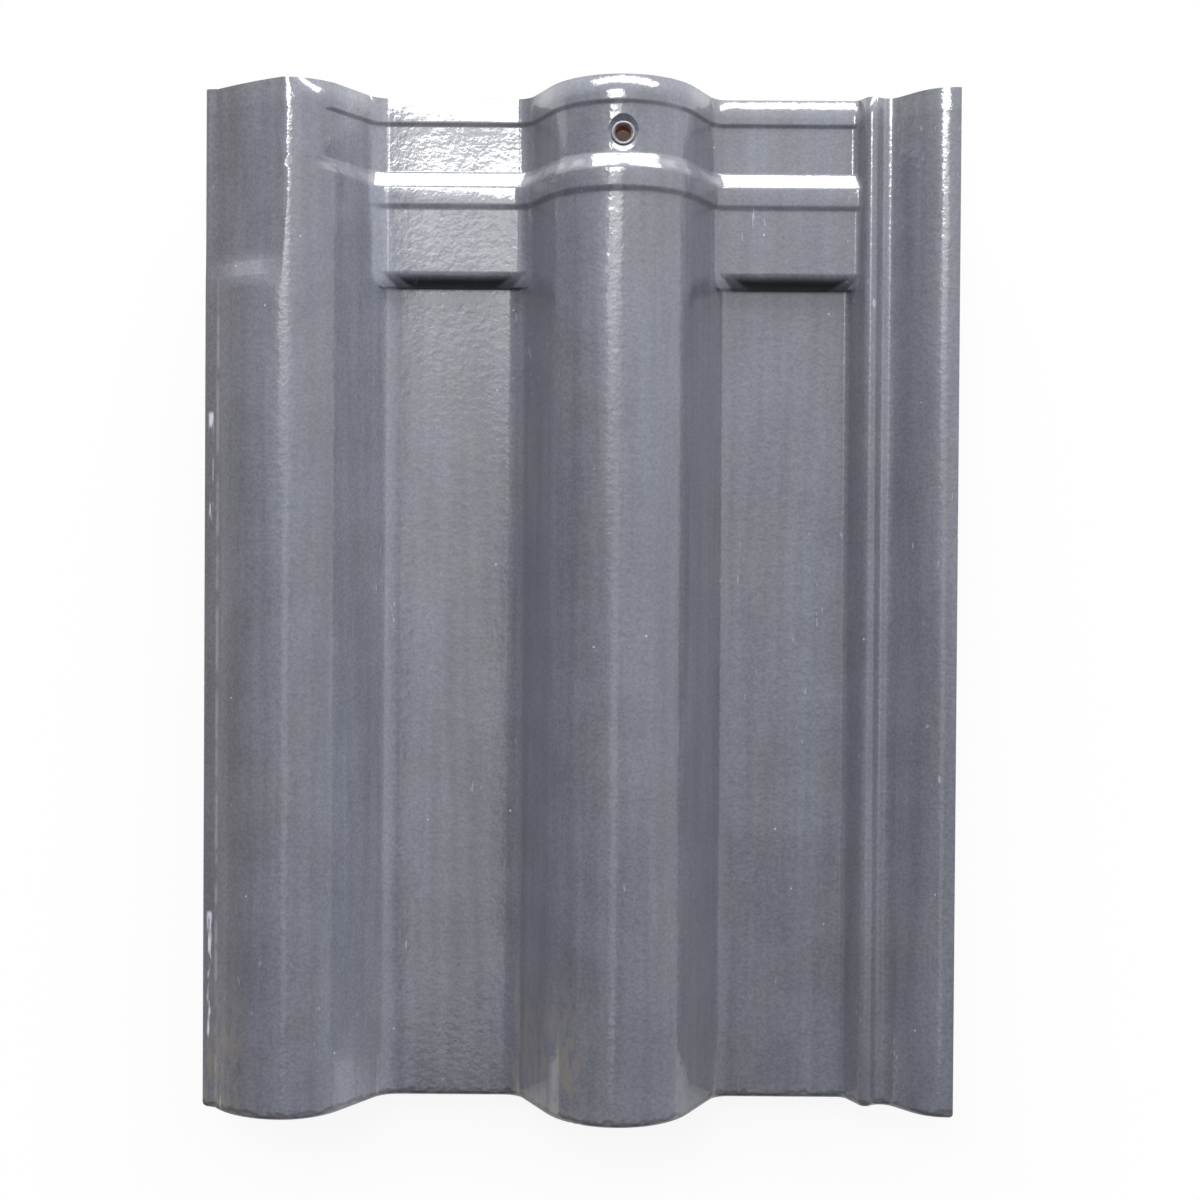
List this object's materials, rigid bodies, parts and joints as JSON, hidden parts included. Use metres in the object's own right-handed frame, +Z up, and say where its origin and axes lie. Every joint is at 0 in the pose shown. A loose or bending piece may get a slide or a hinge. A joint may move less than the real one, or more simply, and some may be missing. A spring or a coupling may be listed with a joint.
{
  "type": "roof tile",
  "caption": "Glazed interlocking clay roof tile with rounded rolls, flat pans, a ribbed head lap, a side lap with a water bar and a nail hole; sheds rain in overlapping courses.",
  "frame": {"origin": "on the floor under the middle of the tile's bounding box, the tile lying on its nibs and nose with the glazed face up", "axes": "+X across the tile from the cover roll to the side lap, +Y along the tile from the tail to the head, +Z up out of the glazed face"},
  "size_m": [0.2942, 0.4, 0.0595],
  "materials": {
    "glaze": "semi-gloss slate grey glaze on the upper face and the edges, bare terracotta clay underneath and in the nail hole"
  },
  "bodies": {
    "root": {"roof_tile": "glaze"}
  },
  "joints": []
}
